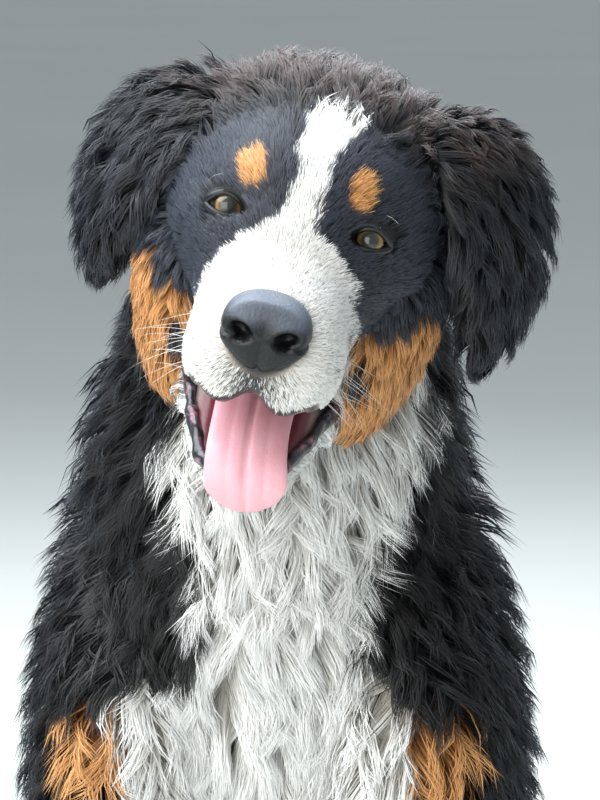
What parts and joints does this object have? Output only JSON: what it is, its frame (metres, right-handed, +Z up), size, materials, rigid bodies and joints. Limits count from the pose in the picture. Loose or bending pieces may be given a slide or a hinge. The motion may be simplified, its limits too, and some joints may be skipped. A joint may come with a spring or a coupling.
{
  "type": "bernese mountain dog",
  "caption": "Life-size sitting young mountain dog with a long tricolour coat, hanging ears, open mouth and tongue out, as a still display model.",
  "frame": {"origin": "on the floor, under the middle of the dog's bounding box", "axes": "+Z up, -Y the way the dog faces, +X to its left"},
  "size_m": [0.3297, 0.6267, 0.6677],
  "materials": {
    "black_coat": "long, soft, slightly wavy black fur with a brown tinge",
    "head_coat": "short black fur with a white blaze and muzzle and rust cheeks and brows",
    "white_coat": "clean white fur",
    "rust_coat": "rust-coloured fur",
    "nose_leather": "moist, finely pebbled dark nose leather",
    "tongue_flesh": "moist pink flesh",
    "eye": "wet amber-brown eye with a dark pupil"
  },
  "bodies": {
    "root": {"head": "head_coat", "nose": "nose_leather", "eye_right": "eye", "eye_left": "eye", "jaw": "white_coat", "tongue": "tongue_flesh", "ear_right": "black_coat", "ear_left": "black_coat", "neck": "black_coat", "torso": "black_coat", "shoulder_right": "black_coat", "forepaw_right": "white_coat", "forearm_right": "rust_coat", "thigh_right": "black_coat", "hindpaw_right": "white_coat", "shank_right": "rust_coat", "shoulder_left": "black_coat", "forepaw_left": "white_coat", "forearm_left": "rust_coat", "thigh_left": "black_coat", "hindpaw_left": "white_coat", "shank_left": "rust_coat", "tail_root": "black_coat", "tail_tip": "black_coat"}
  },
  "joints": []
}
